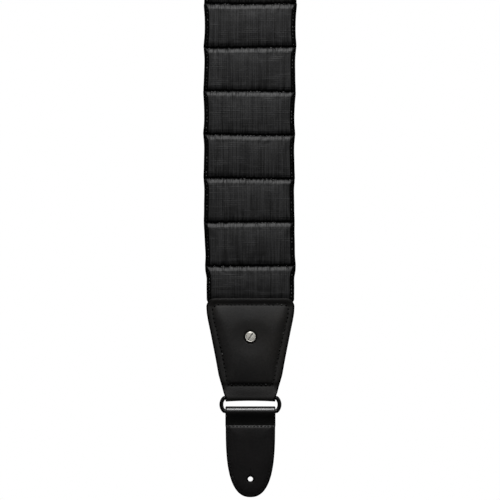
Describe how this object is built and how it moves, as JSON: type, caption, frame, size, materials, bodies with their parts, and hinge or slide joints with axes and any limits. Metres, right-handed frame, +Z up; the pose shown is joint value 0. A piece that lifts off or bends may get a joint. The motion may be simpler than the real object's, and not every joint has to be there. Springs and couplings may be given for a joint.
{
  "type": "guitar strap",
  "caption": "Padded black guitar strap with quilted woven pad, leather yokes on wire rings, a webbing length adjuster and leather button tabs, hanging straight.",
  "frame": {"origin": "centre of the button hole in the top tab, halfway through the tab's thickness", "axes": "+Z up along the hanging strap, +Y along the button hole towards the strap's back, +X to the right seen from the front"},
  "size_m": [0.088, 0.0133, 1.221],
  "materials": {
    "strap_leather": "satin",
    "lacquered_leather": "gloss",
    "stiffener": "matte",
    "cover_fabric": "matte",
    "foam": "matte",
    "webbing": "matte",
    "black_wire": "gloss",
    "nickel": "polished",
    "steel_pin": "satin",
    "slider_plastic": "matte"
  },
  "bodies": {
    "top_tab": {"top_tab_front": "strap_leather", "top_tab_back": "strap_leather", "top_tab_filler": "stiffener", "webbing_main": "webbing"},
    "slider": {"slider_frame": "slider_plastic", "slider_pin": "steel_pin", "webbing_end_loop": "webbing"},
    "ring_loop": {"webbing_loop": "webbing", "webbing_return": "webbing"},
    "upper_ring": {"upper_ring": "black_wire"},
    "upper_yoke": {"upper_yoke_front": "strap_leather", "upper_yoke_back": "strap_leather", "upper_yoke_core": "stiffener", "upper_yoke_padding": "foam", "upper_rivet_post": "nickel", "upper_rivet_screw": "nickel", "channel_cover_01": "cover_fabric", "channel_foam_01": "foam"},
    "channel_02": {"channel_cover_02": "cover_fabric", "channel_foam_02": "foam"},
    "channel_03": {"channel_cover_03": "cover_fabric", "channel_foam_03": "foam"},
    "channel_04": {"channel_cover_04": "cover_fabric", "channel_foam_04": "foam"},
    "channel_05": {"channel_cover_05": "cover_fabric", "channel_foam_05": "foam"},
    "channel_06": {"channel_cover_06": "cover_fabric", "channel_foam_06": "foam"},
    "channel_07": {"channel_cover_07": "cover_fabric", "channel_foam_07": "foam"},
    "channel_08": {"channel_cover_08": "cover_fabric", "channel_foam_08": "foam"},
    "channel_09": {"channel_cover_09": "cover_fabric", "channel_foam_09": "foam"},
    "channel_10": {"channel_cover_10": "cover_fabric", "channel_foam_10": "foam"},
    "channel_11": {"channel_cover_11": "cover_fabric", "channel_foam_11": "foam"},
    "channel_12": {"channel_cover_12": "cover_fabric", "channel_foam_12": "foam"},
    "channel_13": {"channel_cover_13": "cover_fabric", "channel_foam_13": "foam"},
    "channel_14": {"channel_cover_14": "cover_fabric", "channel_foam_14": "foam"},
    "channel_15": {"channel_cover_15": "cover_fabric", "channel_foam_15": "foam"},
    "lower_yoke": {"channel_cover_16": "cover_fabric", "channel_foam_16": "foam", "lower_yoke_front": "strap_leather", "lower_yoke_back": "strap_leather", "lower_yoke_core": "stiffener", "lower_yoke_padding": "foam", "lower_rivet_post": "nickel", "lower_rivet_screw": "nickel"},
    "lower_ring": {"lower_ring": "black_wire"},
    "tab": {"tab_strip": "lacquered_leather", "tab_front": "strap_leather", "tab_back": "strap_leather"}
  },
  "joints": [
    {"name": "strap_length", "type": "slide", "parent": "top_tab", "child": "ring_loop", "axis": [0, 0, -1], "range_m": [0, 0.14], "deforming": ["webbing_main"]},
    {"name": "slider_slide", "type": "slide", "parent": "top_tab", "child": "slider", "axis": [0, 0, -1], "range_m": [0, 0.28], "deforming": ["webbing_return"]},
    {"name": "upper_ring_swing", "type": "hinge", "parent": "ring_loop", "child": "upper_ring", "pos_m": [0, 0.00275, -0.2646], "axis": [1, 0, 0], "range_deg": [-60, 60]},
    {"name": "upper_yoke_swing", "type": "hinge", "parent": "upper_ring", "child": "upper_yoke", "pos_m": [0, 0.00275, -0.2774], "axis": [1, 0, 0], "range_deg": [-60, 60]},
    {"name": "seam_bend_01", "type": "hinge", "parent": "upper_yoke", "child": "channel_02", "pos_m": [0, 0.00275, -0.4029], "axis": [1, 0, 0], "range_deg": [-10, 10]},
    {"name": "seam_bend_02", "type": "hinge", "parent": "channel_02", "child": "channel_03", "pos_m": [0, 0.00275, -0.4444], "axis": [1, 0, 0], "range_deg": [-10, 10]},
    {"name": "seam_bend_03", "type": "hinge", "parent": "channel_03", "child": "channel_04", "pos_m": [0, 0.00275, -0.4859], "axis": [1, 0, 0], "range_deg": [-10, 10]},
    {"name": "seam_bend_04", "type": "hinge", "parent": "channel_04", "child": "channel_05", "pos_m": [0, 0.00275, -0.5274], "axis": [1, 0, 0], "range_deg": [-10, 10]},
    {"name": "seam_bend_05", "type": "hinge", "parent": "channel_05", "child": "channel_06", "pos_m": [0, 0.00275, -0.5689], "axis": [1, 0, 0], "range_deg": [-10, 10]},
    {"name": "seam_bend_06", "type": "hinge", "parent": "channel_06", "child": "channel_07", "pos_m": [0, 0.00275, -0.6104], "axis": [1, 0, 0], "range_deg": [-10, 10]},
    {"name": "seam_bend_07", "type": "hinge", "parent": "channel_07", "child": "channel_08", "pos_m": [0, 0.00275, -0.6519], "axis": [1, 0, 0], "range_deg": [-10, 10]},
    {"name": "seam_bend_08", "type": "hinge", "parent": "channel_08", "child": "channel_09", "pos_m": [0, 0.00275, -0.6934], "axis": [1, 0, 0], "range_deg": [-10, 10]},
    {"name": "seam_bend_09", "type": "hinge", "parent": "channel_09", "child": "channel_10", "pos_m": [0, 0.00275, -0.7349], "axis": [1, 0, 0], "range_deg": [-10, 10]},
    {"name": "seam_bend_10", "type": "hinge", "parent": "channel_10", "child": "channel_11", "pos_m": [0, 0.00275, -0.7764], "axis": [1, 0, 0], "range_deg": [-10, 10]},
    {"name": "seam_bend_11", "type": "hinge", "parent": "channel_11", "child": "channel_12", "pos_m": [0, 0.00275, -0.8179], "axis": [1, 0, 0], "range_deg": [-10, 10]},
    {"name": "seam_bend_12", "type": "hinge", "parent": "channel_12", "child": "channel_13", "pos_m": [0, 0.00275, -0.8594], "axis": [1, 0, 0], "range_deg": [-10, 10]},
    {"name": "seam_bend_13", "type": "hinge", "parent": "channel_13", "child": "channel_14", "pos_m": [0, 0.00275, -0.9009], "axis": [1, 0, 0], "range_deg": [-10, 10]},
    {"name": "seam_bend_14", "type": "hinge", "parent": "channel_14", "child": "channel_15", "pos_m": [0, 0.00275, -0.9424], "axis": [1, 0, 0], "range_deg": [-10, 10]},
    {"name": "seam_bend_15", "type": "hinge", "parent": "channel_15", "child": "lower_yoke", "pos_m": [0, 0.00275, -0.9839], "axis": [1, 0, 0], "range_deg": [-10, 10]},
    {"name": "lower_ring_swing", "type": "hinge", "parent": "lower_yoke", "child": "lower_ring", "pos_m": [0, 0.00275, -1.1094], "axis": [1, 0, 0], "range_deg": [-85, 85]},
    {"name": "tab_swing", "type": "hinge", "parent": "lower_ring", "child": "tab", "pos_m": [0, 0.00275, -1.1222], "axis": [1, 0, 0], "range_deg": [-85, 85]}
  ],
  "couplings": [
    {"joint": "slider_slide", "follows": "strap_length", "ratio": 2},
    {"joint": "seam_bend_02", "follows": "seam_bend_01", "ratio": 1},
    {"joint": "seam_bend_03", "follows": "seam_bend_01", "ratio": 1},
    {"joint": "seam_bend_04", "follows": "seam_bend_01", "ratio": 1},
    {"joint": "seam_bend_05", "follows": "seam_bend_01", "ratio": 1},
    {"joint": "seam_bend_06", "follows": "seam_bend_01", "ratio": 1},
    {"joint": "seam_bend_07", "follows": "seam_bend_01", "ratio": 1},
    {"joint": "seam_bend_08", "follows": "seam_bend_01", "ratio": 1},
    {"joint": "seam_bend_09", "follows": "seam_bend_01", "ratio": 1},
    {"joint": "seam_bend_10", "follows": "seam_bend_01", "ratio": 1},
    {"joint": "seam_bend_11", "follows": "seam_bend_01", "ratio": 1},
    {"joint": "seam_bend_12", "follows": "seam_bend_01", "ratio": 1},
    {"joint": "seam_bend_13", "follows": "seam_bend_01", "ratio": 1},
    {"joint": "seam_bend_14", "follows": "seam_bend_01", "ratio": 1},
    {"joint": "seam_bend_15", "follows": "seam_bend_01", "ratio": 1}
  ]
}
